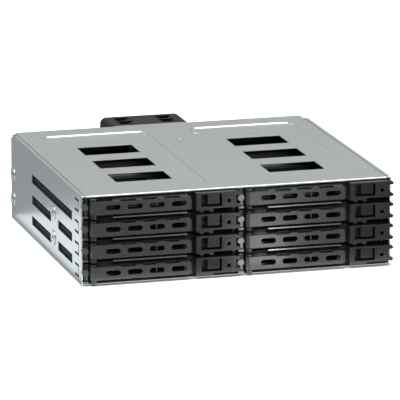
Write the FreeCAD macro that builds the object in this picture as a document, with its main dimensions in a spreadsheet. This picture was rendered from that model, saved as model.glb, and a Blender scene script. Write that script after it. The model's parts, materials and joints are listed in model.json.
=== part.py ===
"""Hot swap drive cage: a half-height 5.25 inch bay cage with eight slim 2.5 inch drive trays.

Two columns of four trays slide out of a folded sheet-metal cage. Each tray has a vented lever that
swings out on a pin at its left end and a sprung release button at its right end. A backplane with
connectors and a 40 mm fan close the rear.

Frame: X to the right, Y to the rear, Z up, millimetres. The origin is the centre of the underside.
"""
import FreeCAD, Part
import math
import os
import Sketcher

V = FreeCAD.Vector
COLUMNS = ("l", "r")
ROWS = 4
SHELVES = ROWS - 1
BLADES = 7
VENTS = 3
TRAY_WINDOWS = 4
LEVER_SLOTS = 4
WING_SLOTS = 3
RIBBED_SLOT = 2
EDGE_REACH = 1e-4

# Driving sizes in mm. Each goes into the sheet under its own alias.
SIZES = {
    # cage
    "cage_width": 146.0,
    "cage_height": 41.3,
    "cage_depth": 135.5,
    "sheet_gauge": 0.8,
    "divider_gauge": 1.2,
    "shelf_gauge": 0.6,
    "top_fold": 1.8,
    "seam_gap": 0.3,
    "lip_round": 0.34,
    "corner_cut_y": 6.0,
    "corner_cut_z": 2.2,
    # standard side and base screw holes
    "screw_pitch_y": 79.25,
    "screw_pitch_z": 11.84,
    "screw_rear_gap": 3.95,
    "screw_first_z": 10.0,
    "screw_hole_r": 1.5,
    "boss_r": 3.6,
    "boss_proud": 0.5,
    "boss_round": 0.4,
    "base_screw_pitch_x": 139.7,
    # side windows
    "side_window_first_y": 17.0,
    "side_window_screw_before": 8.8,
    "side_window_screw_after": 4.5,
    "side_window_rear_gap": 41.3,
    "side_window_low_z": 6.2,
    "side_window_tall": 4.3,
    # grounding fingers lanced out of the side walls
    "finger_front_y": 4.8,
    "finger_back_y": 12.2,
    "finger_half_tall": 3.0,
    "finger_slit": 1.1,
    # cover
    "vent_inset_x": 22.8,
    "vent_wide": 26.5,
    "vent_first_y": 25.0,
    "vent_long": 16.5,
    "vent_pitch_y": 28.2,
    "panel_depth": 0.45,
    "panel_slope": 0.5,
    "panel_corner_r": 4.5,
    "panel_inset_x": 11.6,
    "panel_wide": 50.8,
    "panel_front_y": 12.0,
    "panel_rear_gap": 12.7,
    "plate_inset_x": 11.0,
    "plate_wide": 33.0,
    "plate_rear_gap": 23.5,
    "plate_long": 7.0,
    "rivet_inset_x": 4.8,
    "rivet_front_y": 16.9,
    "rivet_rear_y": 76.8,
    "rivet_r": 0.75,
    "rivet_head_r": 1.25,
    "rivet_head_tall": 0.25,
    "rivet_gap": 0.05,
    "cover_tab_wide": 8.0,
    "cover_tab_half": 3.5,
    "weld_front_y": 26.0,
    "weld_rear_y": 101.5,
    "weld_mark_r": 0.6,
    "weld_dimple_r": 1.6,
    "weld_mark_depth": 0.2,
    "weld_tab_wide": 5.6,
    "weld_tab_half": 3.0,
    "slot_gap": 0.1,
    # shelves between the rows
    "divider_setback": 6.0,
    "shelf_setback": 7.0,
    "shelf_lip_setback": 0.2,
    "shelf_lip_left": 14.0,
    # measured back from the bay's right side
    "shelf_lip_right": 23.0,
    "shelf_tab_left": 17.0,
    "shelf_tab_wide": 1.8,
    "shelf_tab_pitch": 4.4,
    "shelf_window_rim": 1.0,
    # trays
    "tray_side_gap": 0.3,
    "tray_low_gap": 0.1,
    "tray_high_gap": 0.35,
    "tray_proud": 3.6,
    "tray_rail": 0.475,
    "drive_width": 69.85,
    "drive_length": 100.45,
    "drive_gap": 0.1,
    "drive_end_gap": 0.4,
    "drive_screw_x": 61.72,
    "drive_screw_near": 14.0,
    "drive_screw_far": 90.6,
    "drive_screw_r": 1.6,
    "tray_floor": 0.8,
    "tray_rail_high_gap": 1.175,
    "tray_bulkhead": 1.2,
    "tray_window_inset": 12.0,
    "tray_window_long": 12.0,
    "tray_window_pitch": 16.8,
    # bezel on each tray
    "bezel_depth": 8.0,
    "bezel_wall": 1.5,
    "block_setback": 0.3,
    "block_low": 1.6,
    "ledge_low": 0.6,
    "ledge_setback": 1.2,
    "lug_r": 1.5,
    # measured back from the tray's right side
    "block_left": 19.3,
    "block_right": 0.6,
    "ledge_left": 19.2,
    "ledge_right": 11.1,
    "button_left": 14.0,
    "lock_left": 6.4,
    "lever_right": 21.7,
    "post_right": 2.1,
    "post_setback": 4.0,
    "ear_r": 0.8,
    "ear_reach": 1.5,
    "ear_root": 2.6,
    "ear_low_z": 2.45,
    "ear_high_gap": 1.125,
    "ear_setback": 0.7,
    "ear_thick": 2.1,
    "lock_low": 2.6,
    "lock_square": 4.6,
    "lock_hole_r": 0.95,
    "lock_hole_deep": 3.0,
    # lever
    "pivot_x": 4.1,
    "pivot_y": 2.0,
    "trunnion_r": 0.8,
    "trunnion_gap": 0.08,
    "trunnion_short": 0.2,
    "lever_low": 1.9,
    "lever_high_gap": 1.125,
    "lever_skin": 1.2,
    "lever_corner_r": 1.2,
    "lever_arm_gap": 0.22,
    "wing_left": 13.0,
    "wing_end": 1.0,
    "wing_skin": 0.55,
    "wing_rise": 0.7,
    "wing_setback": 0.4,
    "wing_deep": 4.3,
    "grille_first": 9.3,
    "grille_long": 7.1,
    "grille_tall": 2.5,
    "grille_last": 2.15,
    "wing_slot_first": 16.2,
    "wing_slot_long": 7.6,
    "wing_slot_deep": 2.7,
    "wing_slot_notch": 0.45,
    "rib_wide": 0.7,
    "rib_deep": 2.0,
    "notch_wide": 1.0,
    "notch_tall": 0.5,
    # release button
    "button_wide": 5.6,
    "button_low": 3.6,
    "button_high_gap": 0.825,
    "button_setback": 0.6,
    "button_deep": 2.6,
    "button_corner_r": 0.4,
    "button_left_gap": 3.0,
    "button_side_gap": 1.1,
    "button_low_gap": 1.1,
    "button_top_gap": 0.1,
    "button_recess": 4.6,
    "stem_wide": 2.4,
    "stem_tall": 2.0,
    "stem_end": 6.6,
    "stem_gap": 0.1,
    "button_mark_r": 0.75,
    "button_mark_deep": 0.3,
    # light pipe
    "pipe_reach": 1.5,
    "pipe_right": 1.5,
    "pipe_tall": 2.6,
    "pipe_high_gap": 2.225,
    "pipe_setback": 0.8,
    "pipe_web_y": 2.9,
    "pipe_web_left": 0.15,
    "lamp_reach": 0.9,
    "lamp_low": 0.4,
    "lamp_tall": 0.9,
    "pipe_stem_r": 0.5,
    "pipe_stem_x": 0.8,
    "pipe_stem_gap": 0.05,
    # backplane and connectors
    "board_y": 116.5,
    "board_gauge": 1.6,
    "board_side_gap": 0.4,
    "board_low_gap": 0.7,
    "board_vent_left": 1.7,
    "board_vent_right": 4.1,
    "board_vent_low": 1.6,
    "board_vent_tall": 6.4,
    "socket_left": 9.0,
    "socket_wide": 41.0,
    "socket_low": 2.2,
    "socket_tall": 5.0,
    "socket_deep": 8.6,
    "socket_slit": 1.6,
    "socket_wall": 1.4,
    "socket_slit_deep": 5.5,
    "port_centre_x": 26.0,
    "port_spread_x": 21.0,
    "port_low_z": 19.0,
    "port_pitch_z": 11.0,
    "port_wide": 14.0,
    "port_tall": 4.6,
    "port_deep": 9.0,
    "port_wall": 1.1,
    "port_hollow": 7.0,
    "power_z": 8.0,
    "power_wide": 22.0,
    "port_window_gap": 1.3,
    "standoff_inset_x": 4.4,
    "standoff_inset_z": 6.0,
    "standoff_r": 1.9,
    # fan
    "fan_offset_x": -3.0,
    "fan_edge": 0.65,
    "fan_deep": 20.0,
    "fan_land": 1.1,
    "fan_drum_wall": 1.95,
    "fan_flange": 3.0,
    "fan_rib": 1.0,
    "fan_screw_inset": 4.0,
    "fan_hole_r": 2.1,
    "fan_corner_r": 3.0,
    "bracket_deep": 4.0,
    "fan_screw_r": 1.6,
    "fan_screw_head_r": 2.9,
    "fan_screw_head": 1.6,
    "fan_screw_tail": 2.5,
    "motor_base_r": 9.6,
    "motor_base": 2.0,
    "strut_wide": 2.2,
    "stator_r": 6.6,
    "stator_deep": 10.0,
    "spindle_r": 1.0,
    "spindle_gap": 0.06,
    "spindle_deep": 4.5,
    "hub_r": 9.0,
    "hub_wall": 1.3,
    "hub_cap": 2.4,
    "hub_front_gap": 1.5,
    "hub_rear_gap": 0.8,
    "blade_tip_gap": 1.7,
    "blade_root_sink": 1.1,
    "blade_gauge": 1.0,
    "blade_root_half": 3.0,
    "blade_tip_half": 4.6,
    "blade_front_gap": 2.6,
    "blade_rear_gap": 1.6,
}


class Size:
    """A length that holds its number together with the sheet formula that gives it."""

    def __init__(self, value, text=None):
        self.value = float(value)
        self.text = text or f"{self.value:.6f}"

    def joined(self, sign, other, value):
        return Size(value, f"({self.text} {sign} {other.text})")

    def __add__(self, other):
        other = as_size(other)
        return self.joined("+", other, self.value + other.value)

    def __sub__(self, other):
        other = as_size(other)
        return self.joined("-", other, self.value - other.value)

    def __mul__(self, other):
        other = as_size(other)
        return self.joined("*", other, self.value * other.value)

    def __truediv__(self, other):
        other = as_size(other)
        return self.joined("/", other, self.value / other.value)

    def __radd__(self, other):
        return as_size(other) + self

    def __rsub__(self, other):
        return as_size(other) - self

    def __rmul__(self, other):
        return as_size(other) * self

    def __neg__(self):
        return as_size(0) - self


def as_size(value):
    return value if isinstance(value, Size) else Size(value)


class Sheet:
    """The driving sizes by alias, as attributes."""

    def __init__(self, doc):
        table = doc.addObject("Spreadsheet::Sheet", "Sizes")
        for line, (alias, value) in enumerate(SIZES.items(), start=1):
            table.set(f"A{line}", alias)
            table.set(f"B{line}", str(value))
            table.setAlias(f"B{line}", alias)
            setattr(self, alias, Size(value, f"Sizes.{alias}"))


doc = FreeCAD.newDocument("hot_swap_drive_cage")
S = Sheet(doc)
doc.recompute()

# Sizes that follow from the driving ones.
BAY_WIDE = (S.cage_width - 2 * S.sheet_gauge - S.divider_gauge) / len(COLUMNS)
COLUMN_PITCH = BAY_WIDE + S.divider_gauge
SLOT_TALL = (S.cage_height - 2 * S.sheet_gauge - SHELVES * S.shelf_gauge) / ROWS
ROW_PITCH = SLOT_TALL + S.shelf_gauge
TRAY_WIDE = BAY_WIDE - 2 * S.tray_side_gap
TRAY_TALL = SLOT_TALL - S.tray_low_gap - S.tray_high_gap
SCREW_INSET = S.tray_rail + S.drive_gap + (S.drive_width - S.drive_screw_x) / 2
DRIVE_FRONT = S.bezel_depth + S.tray_bulkhead + S.drive_end_gap
DRIVE_REAR = DRIVE_FRONT + S.drive_length
LEVER_HIGH = TRAY_TALL - S.lever_high_gap
LEVER_MID = (S.lever_low + LEVER_HIGH) / 2
LEVER_RIGHT = TRAY_WIDE - S.lever_right
GRILLE_PITCH = (LEVER_RIGHT - S.grille_first - S.grille_last - S.grille_long) / (LEVER_SLOTS - 1)
BUTTON_LEFT = TRAY_WIDE - S.button_left
BUTTON_HIGH = TRAY_TALL - S.button_high_gap
PIPE_HIGH = TRAY_TALL - S.pipe_high_gap
PIPE_MID = PIPE_HIGH - S.pipe_tall / 2
CAGE_LEFT = -S.cage_width / 2
CAGE_FRONT = -S.cage_depth / 2
INNER_TOP = S.cage_height - S.sheet_gauge
SCREW_FIRST_Y = S.cage_depth - S.screw_rear_gap - S.screw_pitch_y
DIVIDER_X = S.sheet_gauge + BAY_WIDE
PANEL_FRONT = S.cage_depth - S.sheet_gauge
BOARD_REAR = S.board_y + S.board_gauge
FAN_X = S.cage_width / 2 + S.fan_offset_x
FAN_Z = S.cage_height / 2
FAN_FRONT = S.cage_depth + S.bracket_deep
FAN_REAR = FAN_FRONT + S.fan_deep
FAN_SQUARE = S.cage_height - 2 * S.fan_edge
FAN_BORE_R = FAN_SQUARE / 2 - S.fan_land
FAN_DRUM_R = FAN_BORE_R + S.fan_drum_wall


# ---------------------------------------------------------------- sketches
class Outline:
    """A sketch on one of a body's origin planes, whose closed loops are bound to the sheet.

    Curves and constraints are gathered first and added to the sketch together by close().
    """

    AXES = {"XY_Plane": 1, "YZ_Plane": 1, "XZ_Plane": -1}

    def __init__(self, body, name, plane, start):
        self.plane = plane
        self.curves = []
        self.rules = []
        self.formulas = []
        self.sketch = body.newObject("Sketcher::SketchObject", name)
        support = [f for f in body.Origin.OriginFeatures if f.Role == plane][0]
        self.sketch.AttachmentSupport = [(support, "")]
        self.sketch.MapMode = "FlatFace"
        offset = as_size(start) * self.AXES[plane]
        self.sketch.setExpression("AttachmentOffset.Base.z", offset.text)

    def rule(self, *words):
        """Add one geometric constraint."""
        self.rules.append(Sketcher.Constraint(*words))

    def bind(self, *words, size):
        """Add one dimension and tie it to its formula."""
        size = as_size(size)
        self.formulas.append((len(self.rules), size.text))
        self.rule(*words, size.value)

    def fix(self, curve, point, x, y):
        """Tie one point of a curve to the sketch's origin."""
        self.bind("DistanceX", -1, 1, curve, point, size=x)
        self.bind("DistanceY", -1, 1, curve, point, size=y)

    def close(self):
        """Put everything gathered into the sketch."""
        self.sketch.addGeometry(self.curves)
        self.sketch.addConstraint(self.rules)
        for index, text in self.formulas:
            self.sketch.setExpression(f"Constraints[{index}]", text)
        return self.sketch

    def lines(self, places):
        """Straight sides through the given corners, joined end to end; returns the first one's index."""
        first = len(self.curves)
        corners = [V(x.value, y.value, 0) for x, y in places]
        count = len(corners)
        for i in range(count):
            self.curves.append(Part.LineSegment(corners[i], corners[(i + 1) % count]))
            self.rule("Coincident", first + i, 2, first + (i + 1) % count, 1)
        return first

    def polygon(self, *places):
        places = [(as_size(x), as_size(y)) for x, y in places]
        first = self.lines(places)
        for i, (x, y) in enumerate(places):
            self.fix(first + i, 1, x, y)

    def box(self, left, low, right, high):
        left, low, right, high = map(as_size, (left, low, right, high))
        first = self.lines([(left, low), (right, low), (right, high), (left, high)])
        for i, lie in enumerate(("Horizontal", "Vertical", "Horizontal", "Vertical")):
            self.rule(lie, first + i)
        self.fix(first, 1, left, low)
        self.fix(first + 2, 1, right, high)

    def circle(self, x, y, r):
        x, y, r = map(as_size, (x, y, r))
        index = len(self.curves)
        self.curves.append(Part.Circle(V(x.value, y.value, 0), V(0, 0, 1), r.value))
        self.fix(index, 3, x, y)
        self.bind("Radius", index, size=r)

    def arcs(self, centres, r, first_angle, turn):
        """Equal arcs about the given centres, one after another, with tangent lines between them."""
        first = len(self.curves)
        count = len(centres)
        arcs = []
        for i, (x, y) in enumerate(centres):
            circle = Part.Circle(V(x.value, y.value, 0), V(0, 0, 1), r.value)
            start = first_angle + i * turn
            arcs.append(Part.ArcOfCircle(circle, start, start + turn))
        sides = [Part.LineSegment(arcs[i].EndPoint, arcs[(i + 1) % count].StartPoint) for i in range(count)]
        self.curves += arcs + sides
        for i, (x, y) in enumerate(centres):
            side = first + count + i
            self.rule("Tangent", first + i, 2, side, 1)
            self.rule("Tangent", side, 2, first + (i + 1) % count, 1)
            self.fix(first + i, 3, x, y)
        self.bind("Radius", first, size=r)

    def round_box(self, left, low, right, high, r):
        """A rectangle with four equal round corners."""
        left, low, right, high, r = map(as_size, (left, low, right, high, r))
        centres = [(right - r, low + r), (right - r, high - r), (left + r, high - r), (left + r, low + r)]
        self.arcs(centres, r, -math.pi / 2, math.pi / 2)

    def slot(self, left, mid, right, tall):
        """A stadium lying along the sketch's first axis."""
        left, mid, right = map(as_size, (left, mid, right))
        r = as_size(tall) / 2
        self.arcs([(right - r, mid), (left + r, mid)], r, -math.pi / 2, math.pi)


class Piece:
    """A PartDesign body whose features are extruded along X, Y or Z between two places."""

    def __init__(self, label, x, y, z):
        self.body = doc.addObject("PartDesign::Body", label)
        self.body.Label = label
        self.body.AllowCompound = True
        for axis, place in zip("xyz", (x, y, z)):
            self.body.setExpression(f"Placement.Base.{axis}", as_size(place).text)

    def clone(self, original):
        """Take on the shape of another piece, which keeps driving it."""
        copy = self.body.newObject("PartDesign::FeatureBase", "Clone")
        copy.BaseFeature = original.body
        self.body.Tip = copy

    def profile(self, name, plane, start, draw):
        """A sketch at one place along the plane's axis; draw fills in the outline."""
        outline = Outline(self.body, f"{name}Sketch", plane, start)
        draw(outline)
        return outline.close()

    def extrude(self, kind, name, plane, start, end, draw):
        sketch = self.profile(name, plane, start, draw)
        feature = self.body.newObject(f"PartDesign::{kind}", name)
        feature.Profile = sketch
        feature.setExpression("Length", (as_size(end) - start).text)
        against = plane == "XZ_Plane"
        feature.Reversed = against if kind == "Pad" else not against
        sketch.Visibility = False
        return feature

    def pad(self, name, plane, start, end, draw):
        """Add material from start to end along the plane's axis."""
        return self.extrude("Pad", name, plane, start, end, draw)

    def cut(self, name, plane, start, end, draw):
        """Take material away from start to end along the plane's axis."""
        return self.extrude("Pocket", name, plane, start, end, draw)

    def round_edges(self, name, r, places):
        """Round the tip's edges that lie in the planes of any of the given places."""
        doc.recompute()
        tip = self.body.Tip
        fillet = self.body.newObject("PartDesign::Fillet", name)
        fillet.Base = (tip, [edge for planes in places for edge in edges_on(tip.Shape, **planes)])
        fillet.setExpression("Radius", as_size(r).text)
        tip.Visibility = False


def edges_on(shape, **planes):
    """Names of the shape's edges that lie in every given plane, such as y=0."""
    names = []
    for index, edge in enumerate(shape.Edges, 1):
        ends = edge.BoundBox.getPoint(0), edge.BoundBox.getPoint(6)
        if all(abs(getattr(end, axis) - at) < EDGE_REACH for axis, at in planes.items() for end in ends):
            names.append(f"Edge{index}")
    return names


def cage_piece(label):
    """A piece drawn from the cage's front lower left corner."""
    return Piece(label, CAGE_LEFT, CAGE_FRONT, 0)


def tray_piece(kind, column=0, row=0):
    """A piece drawn from the front lower left corner of its tray, by default the lower left one."""
    x = CAGE_LEFT + S.sheet_gauge + S.tray_side_gap + column * COLUMN_PITCH
    z = S.sheet_gauge + S.tray_low_gap + row * ROW_PITCH
    return Piece(f"{kind}_{COLUMNS[column]}{row + 1}", x, CAGE_FRONT - S.tray_proud, z)


def shelf_piece(column=0, level=0):
    """A piece drawn from the front left corner of its shelf, by default the lower left one."""
    x = CAGE_LEFT + S.sheet_gauge + column * COLUMN_PITCH
    z = S.sheet_gauge + SLOT_TALL + level * ROW_PITCH
    return Piece(f"shelf_{COLUMNS[column]}{level + 1}", x, CAGE_FRONT, z)


# ---------------------------------------------------------------- cage
def side_screw_places():
    for i in range(2):
        for j in range(2):
            yield SCREW_FIRST_Y + i * S.screw_pitch_y, S.screw_first_z + j * S.screw_pitch_z


def rivet_places():
    for x in (S.rivet_inset_x, S.cage_width - S.rivet_inset_x):
        for y in (S.rivet_front_y, S.rivet_rear_y):
            yield x, y


def make_chassis():
    """Folded base and side walls, with narrow folds along the top edges."""
    piece = cage_piece("chassis")
    wide, tall, gauge, fold = S.cage_width, S.cage_height, S.sheet_gauge, S.top_fold

    def section(o):
        o.polygon(
            (0, 0), (wide, 0), (wide, tall), (wide - fold, tall),
            (wide - fold, INNER_TOP), (wide - gauge, INNER_TOP), (wide - gauge, gauge), (gauge, gauge),
            (gauge, INNER_TOP), (fold, INNER_TOP), (fold, tall), (0, tall),
        )

    piece.pad("Folds", "XZ_Plane", 0, S.cage_depth, section)

    def tabs(o):
        for y in (S.rivet_front_y, S.rivet_rear_y):
            low, high = y - S.cover_tab_half, y + S.cover_tab_half
            o.box(gauge / 2, low, S.cover_tab_wide, high)
            o.box(wide - S.cover_tab_wide, low, wide - gauge / 2, high)

    piece.pad("CoverTabs", "XY_Plane", INNER_TOP - gauge, INNER_TOP, tabs)

    def bosses(o):
        for y, z in side_screw_places():
            o.circle(y, z, S.boss_r)

    def boss_hollows(o):
        for y, z in side_screw_places():
            o.circle(y, z, S.boss_r - S.boss_proud)

    def screw_holes(o):
        for y, z in side_screw_places():
            o.circle(y, z, S.screw_hole_r)

    proud = S.boss_proud
    piece.pad("BossesLeft", "YZ_Plane", -proud, 0, bosses)
    piece.pad("BossesRight", "YZ_Plane", wide, wide + proud, bosses)
    piece.cut("HollowsLeft", "YZ_Plane", gauge - proud, gauge, boss_hollows)
    piece.cut("HollowsRight", "YZ_Plane", wide - gauge, wide - gauge + proud, boss_hollows)
    piece.cut("SideScrewHoles", "YZ_Plane", -proud, wide + proud, screw_holes)

    def windows(o):
        first, last = S.side_window_first_y, S.cage_depth - S.side_window_rear_gap
        for row in range(SHELVES):
            low = S.side_window_low_z + row * ROW_PITCH
            high = low + S.side_window_tall
            if row == SHELVES - 1:
                o.box(first, low, last, high)
            else:
                o.box(first, low, SCREW_FIRST_Y - S.side_window_screw_before, high)
                o.box(SCREW_FIRST_Y + S.side_window_screw_after, low, last, high)

    piece.cut("SideWindows", "YZ_Plane", 0, wide, windows)

    def fingers(o):
        for row in range(ROWS):
            mid = gauge + row * ROW_PITCH + SLOT_TALL / 2
            low, high = mid - S.finger_half_tall, mid + S.finger_half_tall
            front, back, slit = S.finger_front_y, S.finger_back_y, S.finger_slit
            o.polygon(
                (front, low), (back, low), (back, low + slit), (front + slit, low + slit),
                (front + slit, high - slit), (back, high - slit), (back, high), (front, high),
            )

    piece.cut("GroundingFingers", "YZ_Plane", 0, wide, fingers)

    def base_holes(o):
        for x in (-S.base_screw_pitch_x / 2, S.base_screw_pitch_x / 2):
            for i in range(2):
                o.circle(wide / 2 + x, SCREW_FIRST_Y + i * S.screw_pitch_y, S.screw_hole_r)
        for y in (S.weld_front_y, S.weld_rear_y):
            half = S.weld_tab_half + S.slot_gap
            side = S.slot_gap
            o.box(DIVIDER_X - side, y - half, DIVIDER_X + S.divider_gauge + side, y + half)

    piece.cut("BaseHoles", "XY_Plane", 0, gauge, base_holes)

    def rivet_holes(o):
        for x, y in rivet_places():
            o.circle(x, y, S.rivet_r + S.rivet_gap)

    piece.cut("TabHoles", "XY_Plane", INNER_TOP - gauge, INNER_TOP, rivet_holes)

    def corner_cuts(o):
        depth = S.cage_depth
        o.polygon((depth - S.corner_cut_y, tall), (depth, tall - S.corner_cut_z), (depth, tall))

    piece.cut("CornerCutLeft", "YZ_Plane", 0, fold, corner_cuts)
    piece.cut("CornerCutRight", "YZ_Plane", wide - fold, wide, corner_cuts)
    piece.round_edges("FrontLip", S.lip_round, [{"y": 0}])
    outer = [{"x": -proud.value}, {"x": (wide + proud).value}]
    piece.round_edges("BossRounding", S.boss_round, outer)


def make_cover():
    """Flat cover with six vents and two shallow pressed panels around them."""
    piece = cage_piece("cover")
    edge = S.top_fold + S.seam_gap
    top = S.cage_height
    piece.pad(
        "Sheet", "XY_Plane", INNER_TOP, top, lambda o: o.box(edge, 0, S.cage_width - edge, S.cage_depth)
    )
    floor = top - S.panel_depth
    piece.round_edges("FrontLip", 2 * S.lip_round, [{"y": 0, "z": top.value}])

    def panels(o):
        for column in range(len(COLUMNS)):
            left = S.panel_inset_x + column * COLUMN_PITCH
            rear = S.cage_depth - S.panel_rear_gap
            o.round_box(left, S.panel_front_y, left + S.panel_wide, rear, S.panel_corner_r)

    pocket = piece.cut("PressedPanels", "XY_Plane", floor, top, panels)
    pocket.setExpression("TaperAngle", f"atan({S.panel_slope.text} / {S.panel_depth.text})")

    def plate(o):
        left = COLUMN_PITCH + S.plate_inset_x
        mid = S.cage_depth - S.plate_rear_gap + S.plate_long / 2
        o.slot(left, mid, left + S.plate_wide, S.plate_long)

    piece.pad("Plate", "XY_Plane", floor, top - S.panel_depth / 4, plate)

    def vents(o):
        for column in range(len(COLUMNS)):
            left = S.vent_inset_x + column * COLUMN_PITCH
            for i in range(VENTS):
                low = S.vent_first_y + i * S.vent_pitch_y
                o.box(left, low, left + S.vent_wide, low + S.vent_long)

    piece.cut("Vents", "XY_Plane", INNER_TOP, top, vents)

    def rivet_holes(o):
        for x, y in rivet_places():
            o.circle(x, y, S.rivet_r + S.rivet_gap)

    piece.cut("RivetHoles", "XY_Plane", INNER_TOP, top, rivet_holes)

    def weld_marks(o):
        mid = DIVIDER_X + S.divider_gauge / 2
        o.circle(mid + S.weld_tab_wide / 4, S.weld_rear_y, S.weld_dimple_r)
        o.circle(mid, S.weld_front_y, S.weld_mark_r)
        o.circle(mid + S.weld_tab_wide * 3 / 4, S.weld_front_y, S.weld_mark_r)

    piece.cut("WeldMarks", "XY_Plane", top - S.weld_mark_depth, top, weld_marks)


def make_cover_rivets():
    """Four domed rivets that hold the cover to the chassis tabs."""
    piece = cage_piece("cover_rivets")
    top = S.cage_height

    def ring(r):
        def draw(o):
            for x, y in rivet_places():
                o.circle(x, y, r)
        return draw

    piece.pad("Shanks", "XY_Plane", INNER_TOP - S.sheet_gauge, top, ring(S.rivet_r))
    piece.pad("Heads", "XY_Plane", top, top + S.rivet_head_tall, ring(S.rivet_head_r))


def make_divider():
    """Upright sheet between the two columns, tabbed into the base and welded under the cover."""
    piece = cage_piece("divider")
    left, right = DIVIDER_X, DIVIDER_X + S.divider_gauge
    half = S.weld_tab_half

    def wall(o):
        low, high, front = S.sheet_gauge, INNER_TOP, S.divider_setback
        points = [(front, low)]
        for y in (S.weld_front_y, S.weld_rear_y):
            points += [(y - half, low), (y - half, 0), (y + half, 0), (y + half, low)]
        points += [(S.board_y, low), (S.board_y, high), (front, high)]
        o.polygon(*points)

    piece.pad("Wall", "YZ_Plane", left, right, wall)

    def tabs(o):
        for y in (S.weld_front_y, S.weld_rear_y):
            o.box(left, y - half, right + S.weld_tab_wide, y + half)

    piece.pad("WeldTabs", "XY_Plane", INNER_TOP - S.sheet_gauge, INNER_TOP, tabs)


def make_shelf():
    """Sheet shelf between two rows, with a lip that comes forward under the lever."""
    piece = shelf_piece()
    back, lip = S.shelf_setback, S.shelf_lip_setback
    lip_right = BAY_WIDE - S.shelf_lip_right
    tab, tab_wide = BAY_WIDE - S.shelf_tab_left, S.shelf_tab_wide
    second = tab + S.shelf_tab_pitch

    def plate(o):
        o.polygon(
            (0, back), (S.shelf_lip_left, back), (S.shelf_lip_left, lip), (lip_right, lip),
            (lip_right, back), (tab, back), (tab, lip), (tab + tab_wide, lip),
            (tab + tab_wide, back), (second, back), (second, lip), (second + tab_wide, lip),
            (second + tab_wide, back), (BAY_WIDE, back), (BAY_WIDE, S.board_y), (0, S.board_y),
        )

    piece.pad("Sheet", "XY_Plane", 0, S.shelf_gauge, plate)

    def windows(o):
        rim = S.shelf_window_rim
        left = S.vent_inset_x - S.sheet_gauge + rim
        for i in range(VENTS):
            low = S.vent_first_y + i * S.vent_pitch_y + rim
            o.box(left, low, left + S.vent_wide - 2 * rim, low + S.vent_long - 2 * rim)

    piece.cut("Windows", "XY_Plane", 0, S.shelf_gauge, windows)
    return piece


# ---------------------------------------------------------------- rear
def port_sides():
    """Centres of the two groups of rear connectors."""
    return S.port_centre_x, S.cage_width - S.port_centre_x


def data_port_places():
    for x in port_sides():
        for side in (-1, 1):
            for i in range(2):
                yield x + side * S.port_spread_x / 2, S.port_low_z + i * S.port_pitch_z


def fan_screw_places():
    half = FAN_SQUARE / 2 - S.fan_screw_inset
    for x in (FAN_X - half, FAN_X + half):
        for z in (FAN_Z - half, FAN_Z + half):
            yield x, z


def centred(o, x, z, wide, tall):
    wide, tall = as_size(wide), as_size(tall)
    o.box(x - wide / 2, z - tall / 2, x + wide / 2, z + tall / 2)


def make_rear_panel():
    """Rear sheet with the fan opening and windows for the connectors."""
    piece = cage_piece("rear_panel")
    gauge = S.sheet_gauge
    front, back = PANEL_FRONT, S.cage_depth
    piece.pad(
        "Sheet", "XZ_Plane", front, back, lambda o: o.box(gauge, gauge, S.cage_width - gauge, INNER_TOP)
    )
    piece.cut("FanOpening", "XZ_Plane", front, back, lambda o: o.circle(FAN_X, FAN_Z, FAN_BORE_R))
    gap = 2 * S.port_window_gap

    def windows(o):
        for x, z in data_port_places():
            centred(o, x, z, S.port_wide + gap, S.port_tall + gap)
        for x in port_sides():
            centred(o, x, S.power_z, S.power_wide + gap, S.port_tall + gap)

    piece.cut("PortWindows", "XZ_Plane", front, back, windows)

    def screw_holes(o):
        for x, z in fan_screw_places():
            o.circle(x, z, S.fan_hole_r)

    piece.cut("FanScrewHoles", "XZ_Plane", front, back, screw_holes)


def make_backplane():
    """Circuit board across the ends of the shelves, with an air slot for each row."""
    piece = cage_piece("backplane")
    side = S.sheet_gauge + S.board_side_gap
    low = S.sheet_gauge + S.board_low_gap
    front, back = S.board_y, BOARD_REAR
    piece.pad(
        "Board", "XZ_Plane", front, back,
        lambda o: o.box(side, low, S.cage_width - side, S.cage_height - low),
    )

    first = S.sheet_gauge + S.socket_left
    left = first + S.socket_wide + S.board_vent_left
    right = first + COLUMN_PITCH - S.board_vent_right

    def air_slots(o):
        for row in range(ROWS):
            base = S.sheet_gauge + row * ROW_PITCH + S.board_vent_low
            o.box(left, base, right, base + S.board_vent_tall)

    piece.cut("AirSlots", "XZ_Plane", front, back, air_slots)


def make_drive_connectors():
    """Eight drive sockets on the front of the backplane, one behind each tray."""
    piece = cage_piece("drive_connectors")
    front, back = S.board_y - S.socket_deep, S.board_y

    def places():
        for column in range(len(COLUMNS)):
            for row in range(ROWS):
                yield S.sheet_gauge + column * COLUMN_PITCH + S.socket_left, S.sheet_gauge + row * ROW_PITCH

    def shells(o):
        for x, z in places():
            low = z + S.socket_low
            o.box(x, low, x + S.socket_wide, low + S.socket_tall)

    def slits(o):
        for x, z in places():
            mid = z + S.socket_low + S.socket_tall / 2
            left, right = x + S.socket_wall, x + S.socket_wide - S.socket_wall
            o.box(left, mid - S.socket_slit / 2, right, mid + S.socket_slit / 2)

    piece.pad("Shells", "XZ_Plane", front, back, shells)
    piece.cut("Slits", "XZ_Plane", front, front + S.socket_slit_deep, slits)


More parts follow.
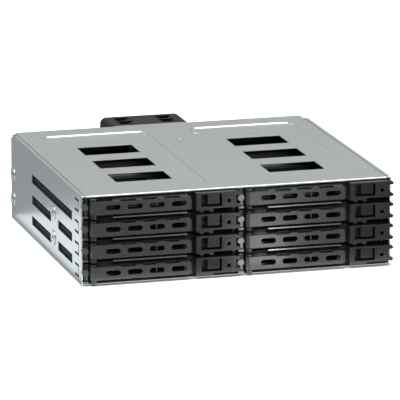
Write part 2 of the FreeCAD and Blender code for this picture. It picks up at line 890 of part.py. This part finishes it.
def make_ports(label, places, wide):
    """Open connector shells on the rear of the backplane, each with a tongue in the middle."""
    piece = cage_piece(label)
    front, back = BOARD_REAR, BOARD_REAR + S.port_deep

    def shells(o):
        for x, z in places:
            centred(o, x, z, wide, S.port_tall)

    def hollows(o):
        for x, z in places:
            centred(o, x, z, wide - 2 * S.port_wall, S.port_tall - 2 * S.port_wall)

    def tongues(o):
        for x, z in places:
            centred(o, x, z, wide - 4 * S.port_wall, S.port_wall)

    piece.pad("Shells", "XZ_Plane", front, back, shells)
    piece.cut("Hollows", "XZ_Plane", back - S.port_hollow, back, hollows)
    piece.pad("Tongues", "XZ_Plane", back - S.port_hollow, back - S.port_wall, tongues)


def make_standoffs():
    """Four round spacers between the backplane and the rear panel."""
    piece = cage_piece("standoffs")

    def rods(o):
        for x in (S.standoff_inset_x, S.cage_width - S.standoff_inset_x):
            for z in (S.standoff_inset_z, S.cage_height - S.standoff_inset_z):
                o.circle(x, z, S.standoff_r)

    piece.pad("Rods", "XZ_Plane", BOARD_REAR, PANEL_FRONT, rods)


# ---------------------------------------------------------------- fan
def fan_square(o):
    half = FAN_SQUARE / 2
    o.round_box(FAN_X - half, FAN_Z - half, FAN_X + half, FAN_Z + half, S.fan_corner_r)


def fan_holes(o):
    for x, z in fan_screw_places():
        o.circle(x, z, S.fan_hole_r)


def make_fan_bracket():
    """Spacer frame between the rear panel and the fan."""
    piece = cage_piece("fan_bracket")
    front, back = S.cage_depth, FAN_FRONT
    piece.pad("Frame", "XZ_Plane", front, back, fan_square)
    piece.cut("Bore", "XZ_Plane", front, back, lambda o: o.circle(FAN_X, FAN_Z, FAN_BORE_R))
    piece.cut("ScrewHoles", "XZ_Plane", front, back, fan_holes)


def make_fan_frame():
    """Fan housing: a round drum flattened at its four sides, corner posts, two square flanges with a
    thin rib between them, and a motor base on four struts."""
    piece = cage_piece("fan_frame")
    flange = S.fan_flange
    half, reach = FAN_SQUARE / 2, FAN_DRUM_R + S.fan_land
    piece.pad(
        "Drum", "XZ_Plane", FAN_FRONT, FAN_REAR, lambda o: o.circle(FAN_X, FAN_Z, FAN_DRUM_R)
    )

    def flats(o):
        for size in (reach, half):
            o.box(FAN_X - size, FAN_Z - size, FAN_X + size, FAN_Z + size)

    piece.cut("Flats", "XZ_Plane", FAN_FRONT, FAN_REAR, flats)
    piece.pad("FrontFlange", "XZ_Plane", FAN_FRONT, FAN_FRONT + flange, fan_square)
    middle = (FAN_FRONT + FAN_REAR - S.fan_rib) / 2
    piece.pad("MiddleRib", "XZ_Plane", middle, middle + S.fan_rib, fan_square)
    piece.pad("RearFlange", "XZ_Plane", FAN_REAR - flange, FAN_REAR, fan_square)

    def posts(o):
        side = S.fan_screw_inset
        for x, z in fan_screw_places():
            o.round_box(x - side, z - side, x + side, z + side, S.fan_corner_r)

    piece.pad("CornerPosts", "XZ_Plane", FAN_FRONT, FAN_REAR, posts)
    piece.cut("Bore", "XZ_Plane", FAN_FRONT, FAN_REAR, lambda o: o.circle(FAN_X, FAN_Z, FAN_BORE_R))
    piece.cut("ScrewHoles", "XZ_Plane", FAN_FRONT, FAN_REAR, fan_holes)
    base = FAN_REAR - S.motor_base
    half = S.strut_wide / 2
    reach = (FAN_SQUARE / 2 + FAN_BORE_R) / 2

    piece.pad("MotorBase", "XZ_Plane", base, FAN_REAR, lambda o: o.circle(FAN_X, FAN_Z, S.motor_base_r))
    piece.pad(
        "LevelStruts", "XZ_Plane", base, FAN_REAR,
        lambda o: o.box(FAN_X - reach, FAN_Z - half, FAN_X + reach, FAN_Z + half),
    )
    piece.pad(
        "UprightStruts", "XZ_Plane", base, FAN_REAR,
        lambda o: o.box(FAN_X - half, FAN_Z - reach, FAN_X + half, FAN_Z + reach),
    )
    stator = base - S.stator_deep
    piece.pad("Stator", "XZ_Plane", stator, base, lambda o: o.circle(FAN_X, FAN_Z, S.stator_r))
    piece.pad(
        "Spindle", "XZ_Plane", stator - S.spindle_deep, stator,
        lambda o: o.circle(FAN_X, FAN_Z, S.spindle_r),
    )


def make_fan_impeller():
    """Cup-shaped hub on the spindle with seven twisted blades, drawn about its own Y axis."""
    piece = Piece("fan_impeller", CAGE_LEFT + FAN_X, CAGE_FRONT + FAN_FRONT, FAN_Z)
    stator_front = S.fan_deep - S.motor_base - S.stator_deep
    front = stator_front - S.spindle_deep + S.hub_front_gap - S.hub_cap / 2
    back = S.fan_deep - S.motor_base - S.hub_rear_gap
    piece.pad("Hub", "XZ_Plane", front, back, lambda o: o.circle(0, 0, S.hub_r))
    piece.cut(
        "HubHollow", "XZ_Plane", front + S.hub_cap, back,
        lambda o: o.circle(0, 0, S.hub_r - S.hub_wall),
    )
    piece.cut(
        "SpindleBore", "XZ_Plane", front, front + S.hub_cap,
        lambda o: o.circle(0, 0, S.spindle_r + S.spindle_gap),
    )
    near, far = S.blade_front_gap, S.fan_deep - S.motor_base - S.blade_rear_gap
    thick = S.blade_gauge

    def section(half):
        def draw(o):
            o.polygon((near, -half), (near + thick, -half - thick / 2), (far, half - thick), (far, half))
        return draw

    inner, outer = S.hub_r - S.blade_root_sink, FAN_BORE_R - S.blade_tip_gap
    root = piece.profile("BladeRoot", "YZ_Plane", inner, section(S.blade_root_half))
    tip = piece.profile("BladeTip", "YZ_Plane", outer, section(S.blade_tip_half))
    blade = piece.body.newObject("PartDesign::AdditiveLoft", "Blade")
    blade.Profile = root
    blade.Sections = [tip]
    blade.Ruled = True
    doc.recompute()
    ring = piece.body.newObject("PartDesign::PolarPattern", "BladeRing")
    ring.Originals = [blade]
    axis = [f for f in piece.body.Origin.OriginFeatures if f.Role == "Y_Axis"][0]
    ring.Axis = (axis, [""])
    ring.Angle = 360
    ring.Occurrences = BLADES
    piece.body.Tip = ring


def make_fan_screws():
    """Four screws through the fan and its bracket into the rear panel."""
    piece = cage_piece("fan_screws")

    def rods(r):
        def draw(o):
            for x, z in fan_screw_places():
                o.circle(x, z, r)
        return draw

    front = PANEL_FRONT - S.fan_screw_tail
    piece.pad("Shanks", "XZ_Plane", front, FAN_REAR, rods(S.fan_screw_r))
    piece.pad("Heads", "XZ_Plane", FAN_REAR, FAN_REAR + S.fan_screw_head, rods(S.fan_screw_head_r))


# ---------------------------------------------------------------- trays
def grille_slots(o, low, tall, spread):
    """The lever's row of four stadium slots, each spread wider by the same amount all round."""
    for i in range(LEVER_SLOTS):
        left = S.grille_first + i * GRILLE_PITCH
        o.slot(left - spread, low, left + S.grille_long + spread, tall + 2 * spread)


def make_carrier():
    """Open tray for one drive: floor, two thin rails and a front bulkhead."""
    piece = tray_piece("carrier")
    front, back = S.bezel_depth, DRIVE_REAR
    wide, rail, floor, tall = TRAY_WIDE, S.tray_rail, S.tray_floor, TRAY_TALL - S.tray_rail_high_gap

    def section(o):
        o.polygon(
            (0, 0), (wide, 0), (wide, tall), (wide - rail, tall),
            (wide - rail, floor), (rail, floor), (rail, tall), (0, tall),
        )

    piece.pad("Trough", "XZ_Plane", front, back, section)
    piece.pad(
        "Bulkhead", "XZ_Plane", front, front + S.tray_bulkhead,
        lambda o: o.box(rail / 2, floor / 2, wide - rail / 2, tall),
    )
    piece.cut(
        "BulkheadVents", "XZ_Plane", front, front + S.tray_bulkhead,
        lambda o: grille_slots(o, LEVER_MID, S.grille_tall, S.bezel_wall / 4),
    )
    near, far = DRIVE_REAR - S.drive_screw_near, DRIVE_REAR - S.drive_screw_far

    def windows(o):
        for i in range(TRAY_WINDOWS):
            mid = (near + far) / 2 + (i - (TRAY_WINDOWS - 1) / 2) * S.tray_window_pitch
            half = S.tray_window_long / 2
            o.box(S.tray_window_inset, mid - half, wide - S.tray_window_inset, mid + half)

    piece.cut("FloorWindows", "XY_Plane", 0, floor, windows)

    def screw_holes(o):
        for y in (near, far):
            for x in (SCREW_INSET, wide - SCREW_INSET):
                o.circle(x, y, S.drive_screw_r)

    piece.cut("DriveScrewHoles", "XY_Plane", 0, floor, screw_holes)
    return piece


def button_stem(o, gap):
    x = BUTTON_LEFT + S.button_wide / 2
    z = (S.button_low + BUTTON_HIGH) / 2
    centred(o, x, z, S.stem_wide + 2 * gap, S.stem_tall + 2 * gap)


def make_bezel():
    """Moulded tray front: back wall, hinge lugs, button block, lock boss and guide ears."""
    piece = tray_piece("bezel")
    wall = S.bezel_depth - S.bezel_wall
    wide, tall = TRAY_WIDE, TRAY_TALL
    piece.pad("BackWall", "XZ_Plane", wall, S.bezel_depth, lambda o: o.box(0, 0, wide, tall))
    piece.pad(
        "Block", "XZ_Plane", S.block_setback, wall,
        lambda o: o.box(wide - S.block_left, S.block_low, wide - S.block_right, tall),
    )
    piece.pad(
        "Ledge", "XZ_Plane", S.ledge_setback, wall,
        lambda o: o.box(wide - S.ledge_left, S.ledge_low, wide - S.ledge_right, S.block_low),
    )

    def lug(o):
        r = S.lug_r
        o.arcs([(S.pivot_x, S.pivot_y), (S.pivot_x, wall)], r, -math.pi, math.pi)

    gap = S.lever_arm_gap
    piece.pad("LowerLug", "XY_Plane", 0, S.lever_low - gap, lug)
    piece.pad("UpperLug", "XY_Plane", LEVER_HIGH + gap, tall, lug)
    piece.pad("Post", "XZ_Plane", S.post_setback, wall, lambda o: o.box(0, 0, S.post_right, tall))

    def ears(o):
        for z in (S.ear_low_z, tall - S.ear_high_gap):
            o.slot(wide - S.ear_root, z, wide + S.ear_reach, 2 * S.ear_r)

    piece.pad("Ears", "XZ_Plane", S.ear_setback, S.ear_setback + S.ear_thick, ears)

    def recess(o):
        low, high = S.button_low - S.button_low_gap, BUTTON_HIGH + S.button_top_gap
        right = BUTTON_LEFT + S.button_wide + S.button_side_gap
        o.box(BUTTON_LEFT - S.button_left_gap, low, right, high)

    piece.cut("ButtonRecess", "XZ_Plane", S.block_setback, S.button_recess, recess)
    piece.cut(
        "StemGuide", "XZ_Plane", S.button_recess, S.bezel_depth, lambda o: button_stem(o, S.stem_gap)
    )
    lock_x, lock_z = wide - S.lock_left + S.lock_square / 2, S.lock_low + S.lock_square / 2
    piece.pad(
        "LockBoss", "XZ_Plane", 0, S.block_setback,
        lambda o: centred(o, lock_x, lock_z, S.lock_square, S.lock_square),
    )
    piece.cut(
        "LockHole", "XZ_Plane", 0, S.lock_hole_deep, lambda o: o.circle(lock_x, lock_z, S.lock_hole_r)
    )
    piece.cut(
        "Vents", "XZ_Plane", wall, S.bezel_depth,
        lambda o: grille_slots(o, LEVER_MID, S.grille_tall, S.bezel_wall / 4),
    )
    piece.cut(
        "PivotHoles", "XY_Plane", 0, tall,
        lambda o: o.circle(S.pivot_x, S.pivot_y, S.trunnion_r + S.trunnion_gap),
    )
    piece.cut(
        "PipeHole", "XZ_Plane", S.post_setback, S.bezel_depth,
        lambda o: o.circle(S.pipe_stem_x, PIPE_MID, S.pipe_stem_r + S.pipe_stem_gap),
    )
    return piece


def make_lever():
    """Vented lever: slotted face, two raked wings, a rib behind one slot, and a barrel with trunnions.

    The upper wing's slots also notch the top edge of the face, and small notches mark its lower edge.
    """
    piece = tray_piece("lever")
    front = S.block_setback
    low, high = S.lever_low, LEVER_HIGH
    piece.pad(
        "Barrel", "XY_Plane", low, high,
        lambda o: o.circle(S.pivot_x, S.pivot_y, S.pivot_y - front),
    )
    piece.pad(
        "Trunnions", "XY_Plane", S.trunnion_short, TRAY_TALL - S.trunnion_short,
        lambda o: o.circle(S.pivot_x, S.pivot_y, S.trunnion_r),
    )
    piece.pad(
        "Face", "XZ_Plane", front, front + S.lever_skin,
        lambda o: o.round_box(S.pivot_x, low, LEVER_RIGHT, high, S.lever_corner_r),
    )
    near, far = front + S.wing_setback, front + S.wing_setback + S.wing_deep
    skin, rise, inset = S.wing_skin, S.wing_rise, S.wing_skin / 8
    wing_right = LEVER_RIGHT - S.wing_end

    def wings(o):
        o.polygon((near, high - skin), (far, high + rise - skin), (far, high + rise), (near, high - inset))
        o.polygon((near, low + inset), (far, low - rise), (far, low - rise + skin), (near, low + skin))

    piece.pad("Wings", "YZ_Plane", S.wing_left, wing_right, wings)

    def end_wall(o):
        o.polygon((near, low + inset), (far, low - rise), (far, high + rise), (near, high - inset))

    piece.pad("EndWall", "YZ_Plane", wing_right - skin, wing_right, end_wall)
    piece.cut(
        "Grille", "XZ_Plane", front, near + S.lever_skin,
        lambda o: grille_slots(o, LEVER_MID, S.grille_tall, 0),
    )

    def wing_slots(o):
        for i in range(WING_SLOTS):
            left = S.wing_slot_first + i * GRILLE_PITCH
            o.slot(left, S.wing_slot_deep / 2, left + S.wing_slot_long, S.wing_slot_deep)

    piece.cut("WingSlots", "XY_Plane", high - S.wing_slot_notch, TRAY_TALL, wing_slots)

    def slot_middle(i):
        return S.grille_first + S.grille_long / 2 + i * GRILLE_PITCH

    def notches(o):
        for i in range(1, LEVER_SLOTS):
            centred(o, slot_middle(i), low, S.notch_wide, 2 * S.notch_tall)

    piece.cut("LowerNotches", "XZ_Plane", front, near, notches)
    rib = slot_middle(RIBBED_SLOT) - S.rib_wide / 2
    rib_back = front + S.lever_skin + S.rib_deep
    piece.pad(
        "Rib", "YZ_Plane", rib, rib + S.rib_wide,
        lambda o: o.box(front + S.lever_skin, low + skin / 2, rib_back, high - skin / 2),
    )
    return piece


def make_button():
    """Release button: a shallow block on a square stem, with a plain round dimple."""
    piece = tray_piece("button")
    left, low = BUTTON_LEFT, S.button_low
    right, high = left + S.button_wide, BUTTON_HIGH
    front, back = S.button_setback, S.button_setback + S.button_deep
    piece.pad(
        "Head", "XZ_Plane", front, back, lambda o: o.round_box(left, low, right, high, S.button_corner_r)
    )
    piece.pad("Stem", "XZ_Plane", back, S.stem_end, lambda o: button_stem(o, 0))
    piece.cut(
        "Dimple", "XZ_Plane", front, front + S.button_mark_deep,
        lambda o: o.circle(right - S.button_wide / 4, (low + high) / 2, S.button_mark_r),
    )
    return piece


def make_pipe():
    """Clear light pipe at the tray's left end, with a round head and a small lower window."""
    piece = tray_piece("pipe")
    high, mid = PIPE_HIGH, PIPE_MID
    piece.pad(
        "Web", "XZ_Plane", S.pipe_web_y, S.post_setback,
        lambda o: o.box(S.pipe_web_left, S.lamp_low, S.pipe_right, high),
    )
    piece.pad(
        "Head", "XZ_Plane", S.pipe_setback, S.pipe_web_y,
        lambda o: o.slot(-S.pipe_reach, mid, S.pipe_right, S.pipe_tall),
    )
    piece.pad(
        "Lamp", "XZ_Plane", S.pipe_setback + S.ear_setback, S.pipe_web_y,
        lambda o: o.box(-S.lamp_reach, S.lamp_low, S.pipe_right, S.lamp_low + S.lamp_tall),
    )
    piece.pad(
        "Stem", "XZ_Plane", S.post_setback, S.bezel_depth,
        lambda o: o.circle(S.pipe_stem_x, mid, S.pipe_stem_r),
    )
    return piece


# ---------------------------------------------------------------- assembly
make_chassis()
make_cover()
make_cover_rivets()
make_divider()
make_rear_panel()
make_backplane()
make_drive_connectors()
make_ports("data_ports", list(data_port_places()), S.port_wide)
make_ports("power_ports", [(x, S.power_z) for x in port_sides()], S.power_wide)
make_standoffs()
make_fan_bracket()
make_fan_frame()
make_fan_impeller()
make_fan_screws()
shelf = make_shelf()
tray = {
    "carrier": make_carrier(),
    "bezel": make_bezel(),
    "lever": make_lever(),
    "button": make_button(),
    "pipe": make_pipe(),
}
for column in range(len(COLUMNS)):
    for level in range(SHELVES):
        if (column, level) != (0, 0):
            shelf_piece(column, level).clone(shelf)
    for row in range(ROWS):
        if (column, row) != (0, 0):
            for kind, first in tray.items():
                tray_piece(kind, column, row).clone(first)
doc.recompute()


def check(parts):
    """Stop if any object failed, any cut took nothing away, or any sub-part's shape is unsound."""
    for thing in doc.Objects:
        if {"Invalid", "Error"} & set(thing.State):
            raise RuntimeError(f"{thing.Label} did not compute")
        if thing.TypeId == "PartDesign::Pocket":
            if thing.Shape.Volume > thing.BaseFeature.Shape.Volume - 1e-6:
                raise RuntimeError(f"{thing.Label} cuts nothing")
    for part in parts:
        if part.Shape.isNull() or not part.Shape.isValid() or not part.Shape.Solids:
            raise RuntimeError(f"{part.Label} has no sound shape")


sub_parts = [thing for thing in doc.Objects if thing.TypeId == "PartDesign::Body"]
check(sub_parts)
os.makedirs("parts", exist_ok=True)
for part in sub_parts:
    part.Shape.exportStep(f"parts/{part.Label}.step")
print(len(sub_parts), "sub-parts written")
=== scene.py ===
"""Looks of the hot swap drive cage: finishes, floor, lights and camera."""

import json
import math

import bpy
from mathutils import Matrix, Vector


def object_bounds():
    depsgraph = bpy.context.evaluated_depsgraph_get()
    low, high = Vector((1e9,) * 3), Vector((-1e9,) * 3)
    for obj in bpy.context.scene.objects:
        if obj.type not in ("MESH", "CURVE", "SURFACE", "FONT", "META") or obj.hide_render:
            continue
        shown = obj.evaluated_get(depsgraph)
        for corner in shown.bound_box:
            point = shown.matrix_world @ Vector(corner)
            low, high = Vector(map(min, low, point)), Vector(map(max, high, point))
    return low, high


MM = 0.001
FLOOR_SPAN = 8.0
CARD_LIFT = 0.2 * MM

# Camera at the photo's viewing angle, in degrees and metres, with its lens and sensor in millimetres.
CAMERA_AZIMUTH = -15.77
CAMERA_ELEVATION = 13.51
CAMERA_DISTANCE = 2063.5 * MM
CAMERA_AIM = Vector((-0.70 * MM, -7.75 * MM, 21.2 * MM))
CAMERA_LENS = 398.5
CAMERA_SENSOR = 36.0
CAMERA_REACH = 50.0

# Softboxes in the air: name, size, radiance and place, in metres.
SOFTBOXES = (
    ("key", (1.4, 1.4), 8.0, (-0.65, -0.7, 1.9)),
    ("fill", (1.4, 1.4), 0.8, (1.2, -0.9, 0.9)),
    ("back", (1.6, 0.8), 1.6, (0.1, 1.4, 1.2)),
    ("top", (0.9, 0.9), 6.0, (0.45, -0.2, 1.6)),
)

# Bounce cards on the floor: name, size, radiance, place and turn, in millimetres and degrees.
CARDS = (
    ("side_card", (90, 180), 0.9, (-121, -19), 0.0),
    ("front_card", (24, 140), 5.0, (34, -154), 15.8),
    ("lip_card", (160, 12), 3.0, (5, -75), 0.0),
)

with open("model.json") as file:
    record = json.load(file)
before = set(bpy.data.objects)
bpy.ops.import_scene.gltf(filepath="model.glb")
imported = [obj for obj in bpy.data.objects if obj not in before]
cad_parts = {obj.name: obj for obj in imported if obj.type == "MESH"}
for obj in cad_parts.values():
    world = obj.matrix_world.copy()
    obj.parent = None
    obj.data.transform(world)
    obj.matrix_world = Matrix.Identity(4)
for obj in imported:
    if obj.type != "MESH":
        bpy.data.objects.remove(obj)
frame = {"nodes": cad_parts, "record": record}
cad_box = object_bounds()
nodes = frame["nodes"]


# ---- node graph helpers ----

class Finish:
    """A material whose shader takes plain values, with variation added by its methods."""

    def __init__(self, name, colour, roughness, metallic=0.0, **sockets):
        self.material = bpy.data.materials.new(name)
        self.material.use_nodes = True
        self.tree = self.material.node_tree
        self.shader = self.tree.nodes["Principled BSDF"]
        self.colour = (*colour, 1.0)
        self.roughness = roughness
        self.set("Base Color", self.colour)
        self.set("Roughness", roughness)
        self.set("Metallic", metallic)
        for socket, value in sockets.items():
            self.set(socket.replace("_", " "), value)
        self.place = self.node("ShaderNodeTexCoord").outputs["Object"]

    def set(self, socket, value):
        self.shader.inputs[socket].default_value = value

    def node(self, kind, **inputs):
        made = self.tree.nodes.new(kind)
        for name, value in inputs.items():
            made.inputs[name.replace("_", " ")].default_value = value
        return made

    def link(self, output, target):
        self.tree.links.new(output, target)

    def noise(self, size, stretch=(1, 1, 1), detail=3.0):
        """Noise whose grains are about size metres across, longer along a larger stretch."""
        mapping = self.node("ShaderNodeMapping", Scale=[1 / (size * s) for s in stretch])
        self.link(self.place, mapping.inputs["Vector"])
        noise = self.node("ShaderNodeTexNoise", Scale=1.0, Detail=detail)
        self.link(mapping.outputs["Vector"], noise.inputs["Vector"])
        return noise.outputs["Fac"]

    def cells(self, size):
        """A random value for each crystal of about size metres."""
        cells = self.node("ShaderNodeTexVoronoi", Scale=1 / size)
        self.link(self.place, cells.inputs["Vector"])
        grey = self.node("ShaderNodeSeparateColor")
        self.link(cells.outputs["Color"], grey.inputs["Color"])
        return grey.outputs["Red"]

    def span(self, value, low, high):
        """A value from 0 to 1 mapped to the span from low to high."""
        mapped = self.node("ShaderNodeMapRange")
        mapped.inputs["To Min"].default_value = low
        mapped.inputs["To Max"].default_value = high
        self.link(value, mapped.inputs["Value"])
        return mapped.outputs["Result"]

    def vary_roughness(self, value, by):
        varied = self.span(value, self.roughness - by, self.roughness + by)
        self.link(varied, self.shader.inputs["Roughness"])
        return self

    def vary_colour(self, value, other):
        mix = self.node("ShaderNodeMix")
        mix.data_type = "RGBA"
        mix.inputs["A"].default_value = self.colour
        mix.inputs["B"].default_value = (*other, 1.0)
        self.link(value, mix.inputs["Factor"])
        self.link(mix.outputs["Result"], self.shader.inputs["Base Color"])
        return self

    def relief(self, value, depth, edge=0.0):
        """Bump of a depth in metres, over edges softened to a radius in metres."""
        bump = self.node("ShaderNodeBump", Strength=1.0, Distance=depth)
        self.link(value, bump.inputs["Height"])
        if edge:
            bevel = self.node("ShaderNodeBevel", Radius=edge)
            bevel.samples = 6
            self.link(bevel.outputs["Normal"], bump.inputs["Normal"])
        self.link(bump.outputs["Normal"], self.shader.inputs["Normal"])
        return self


# ---- finishes ----

def sheet_steel(name, colour):
    """Zinc-plated sheet: a faint spangle, a rolled grain along Y and soft cut edges."""
    finish = Finish(name, colour, 0.29, metallic=0.96)
    finish.vary_colour(finish.cells(2 * MM), [1.02 * part for part in colour])
    finish.vary_roughness(finish.noise(6 * MM, stretch=(1, 8, 1)), 0.015)
    return finish.relief(finish.noise(6 * MM, stretch=(1, 4, 1)), 0.0002 * MM, edge=0.12 * MM)


def steel():
    return sheet_steel("zinc_plated_steel", (0.50, 0.535, 0.50))


def shaded_chassis_steel():
    """The chassis' sheet, with a darker, colder tint than the cover's: painted shade and a painted
    bluish reflection on its sides.
    """
    return sheet_steel("shaded_zinc_steel", (0.45, 0.505, 0.52))


def shaded_shelf_steel():
    """The shelves' thinner sheet, its colour darkened as painted shade for the shade between the
    trays.
    """
    return sheet_steel("shade_darkened_zinc_steel", (0.26, 0.275, 0.26))


def black_plastic():
    """Moulded ABS with a fine spark-eroded grain."""
    finish = Finish("moulded_black_plastic", (0.008, 0.0082, 0.0084), 0.34, Specular_IOR_Level=0.42)
    finish.vary_colour(finish.noise(9 * MM), (0.012, 0.0122, 0.0124))
    finish.vary_roughness(finish.noise(1.2 * MM), 0.05)
    return finish.relief(finish.noise(0.18 * MM, detail=2.0), 0.012 * MM, edge=0.18 * MM)


def lever_plastic():
    """The levers' ABS, a little greyer and glossier than the fronts around them."""
    finish = Finish("moulded_lever_plastic", (0.020, 0.0202, 0.0205), 0.28)
    finish.vary_colour(finish.noise(5 * MM), (0.028, 0.0282, 0.0285))
    finish.vary_roughness(finish.noise(1.2 * MM), 0.05)
    return finish.relief(finish.noise(0.18 * MM, detail=2.0), 0.012 * MM, edge=0.18 * MM)


def carrier_plastic():
    """Matt black glass-filled nylon."""
    finish = Finish("matt_black_nylon", (0.004, 0.004, 0.0042), 0.65, Specular_IOR_Level=0.15)
    finish.vary_colour(finish.noise(4 * MM), (0.006, 0.006, 0.0062))
    finish.vary_roughness(finish.noise(0.9 * MM), 0.06)
    return finish.relief(finish.noise(0.25 * MM, detail=2.0), 0.01 * MM, edge=0.15 * MM)


def button_plastic():
    """Moulded ABS, polished a little by use."""
    finish = Finish("button_plastic", (0.005, 0.0052, 0.0054), 0.30, Specular_IOR_Level=0.4)
    finish.vary_colour(finish.noise(3 * MM), (0.008, 0.0082, 0.0084))
    finish.vary_roughness(finish.noise(1.0 * MM), 0.04)
    return finish.relief(finish.noise(0.2 * MM, detail=2.0), 0.008 * MM, edge=0.2 * MM)


def acrylic(name, colour, other, mottle, gloss):
    """Frosted acrylic, mottled between two greys in spots of the size mottle."""
    finish = Finish(name, colour, 0.24, Specular_IOR_Level=gloss)
    finish.vary_colour(finish.noise(mottle), other)
    finish.vary_roughness(finish.noise(0.6 * MM), 0.08)
    return finish.relief(finish.noise(0.3 * MM), 0.01 * MM, edge=0.12 * MM)


def light_pipe():
    """The right column's acrylic, greyed by the plastic behind it."""
    return acrylic("frosted_light_pipe", (0.11, 0.114, 0.11), (0.06, 0.063, 0.06), 1.2 * MM, 0.6)


def shaded_light_pipe():
    """The left column's acrylic, its darker greys painted shade, with only the dark wall of the cage
    behind it.
    """
    return acrylic("painted_shade_light_pipe", (0.03, 0.031, 0.031), (0.045, 0.047, 0.047), 0.9 * MM, 0.5)


def circuit_board():
    """Green solder mask, mottled and slightly uneven."""
    finish = Finish("green_solder_mask", (0.012, 0.075, 0.035), 0.30)
    finish.vary_colour(finish.noise(2.2 * MM), (0.018, 0.10, 0.048))
    finish.vary_roughness(finish.noise(0.8 * MM), 0.06)
    return finish.relief(finish.noise(0.4 * MM), 0.01 * MM, edge=0.1 * MM)


def connector_plastic():
    """Black glass-filled nylon of the sockets and headers."""
    finish = Finish("connector_plastic", (0.016, 0.016, 0.017), 0.38)
    finish.vary_roughness(finish.noise(0.8 * MM), 0.05)
    return finish.relief(finish.noise(0.25 * MM), 0.008 * MM, edge=0.12 * MM)


def fan_plastic():
    """Black PBT of the fan's frame and blades."""
    finish = Finish("fan_plastic", (0.003, 0.003, 0.0032), 0.45, Specular_IOR_Level=0.1)
    finish.vary_colour(finish.noise(6 * MM), (0.005, 0.005, 0.0052))
    finish.vary_roughness(finish.noise(1.1 * MM), 0.05)
    return finish.relief(finish.noise(0.22 * MM, detail=2.0), 0.01 * MM, edge=0.15 * MM)


def screw_steel():
    """Nickel-plated screws, rivets and spacers."""
    finish = Finish("nickel_plated_steel", (0.62, 0.62, 0.61), 0.26, metallic=1.0)
    finish.vary_roughness(finish.noise(0.7 * MM), 0.07)
    return finish.relief(finish.noise(0.3 * MM), 0.004 * MM, edge=0.1 * MM)


FINISHES = {
    "steel": steel, "shaded_chassis_steel": shaded_chassis_steel, "shaded_shelf_steel": shaded_shelf_steel,
    "black_plastic": black_plastic, "lever_plastic": lever_plastic,
    "carrier_plastic": carrier_plastic, "button_plastic": button_plastic,
    "light_pipe": light_pipe, "shaded_light_pipe": shaded_light_pipe,
    "circuit_board": circuit_board, "connector": connector_plastic,
    "fan_plastic": fan_plastic, "screw_steel": screw_steel,
}
finishes = {slot: make().material for slot, make in FINISHES.items()}
slot_of = {entry["node"]: entry["material_slot"] for entry in frame["record"]["subparts"]}


# Nodes told apart from the rest of their record slot, by the start of their names.
OWN_FINISH = {
    "chassis": "shaded_chassis_steel", "shelf": "shaded_shelf_steel", "lever": "lever_plastic",
    "carrier": "carrier_plastic", "pipe_l": "shaded_light_pipe",
}


def finish_for(name):
    for start, own in OWN_FINISH.items():
        if name.startswith(start):
            return finishes[own]
    return finishes[slot_of[name]]


def dress_cad_nodes():
    for name, obj in nodes.items():
        for slot in obj.material_slots:
            slot.material = finish_for(name)


# ---- studio ----

def make_floor():
    finish = Finish("studio_floor", (0.90, 0.90, 0.89), 0.75)
    finish.vary_roughness(finish.noise(60 * MM), 0.05)
    half = FLOOR_SPAN / 2
    low = cad_box[0][2]
    mesh = bpy.data.meshes.new("studio_floor")
    corners = [(-half, -half, low), (half, -half, low), (half, half, low), (-half, half, low)]
    mesh.from_pydata(corners, [], [(0, 1, 2, 3)])
    floor = bpy.data.objects.new("studio_floor", mesh)
    bpy.context.scene.collection.objects.link(floor)
    mesh.materials.append(finish.material)
    floor.visible_glossy = False


def make_softbox(name, size, radiance):
    """A rectangular area light of a given brightness, unseen by the camera itself."""
    data = bpy.data.lights.new(name, "AREA")
    data.shape = "RECTANGLE"
    data.size, data.size_y = size
    data.energy = radiance * math.pi * size[0] * size[1]
    light = bpy.data.objects.new(name, data)
    light.visible_camera = False
    bpy.context.scene.collection.objects.link(light)
    return light


def hang(light, place):
    """Hang a softbox in the air, turned towards the cage."""
    light.location = place
    light.rotation_euler = (-Vector(place)).to_track_quat("-Z", "Y").to_euler()


def lay(light, place, turn):
    """Lay a softbox on the floor as a bounce card that shines upwards."""
    light.location = (*place, cad_box[0][2] + CARD_LIFT)
    light.rotation_euler = (math.pi, 0, math.radians(turn))


def make_lights():
    for name, size, radiance, place in SOFTBOXES:
        hang(make_softbox(name, size, radiance), place)
    for name, size, radiance, place, turn in CARDS:
        card = make_softbox(name, [side * MM for side in size], radiance)
        lay(card, [along * MM for along in place], turn)


def make_world():
    world = bpy.data.worlds.new("studio")
    world.use_nodes = True
    background = world.node_tree.nodes["Background"]
    background.inputs["Color"].default_value = (0.92, 0.94, 0.95, 1)
    background.inputs["Strength"].default_value = 0.48
    bpy.context.scene.world = world


def make_camera():
    """A long lens from the front left, a little above the cage."""
    azimuth = math.radians(CAMERA_AZIMUTH)
    elevation = math.radians(CAMERA_ELEVATION)
    back = Vector((
        math.sin(azimuth) * math.cos(elevation), -math.cos(azimuth) * math.cos(elevation),
        math.sin(elevation),
    ))
    data = bpy.data.cameras.new("studio_camera")
    data.lens = CAMERA_LENS
    data.sensor_width = CAMERA_SENSOR
    data.clip_end = CAMERA_REACH
    camera = bpy.data.objects.new("studio_camera", data)
    camera.location = CAMERA_AIM + back * CAMERA_DISTANCE
    camera.rotation_euler = (-back).to_track_quat("-Z", "Y").to_euler()
    bpy.context.scene.collection.objects.link(camera)
    bpy.context.scene.camera = camera


dress_cad_nodes()
make_floor()
make_world()
make_lights()
make_camera()
bpy.context.scene.view_settings.view_transform = "Standard"
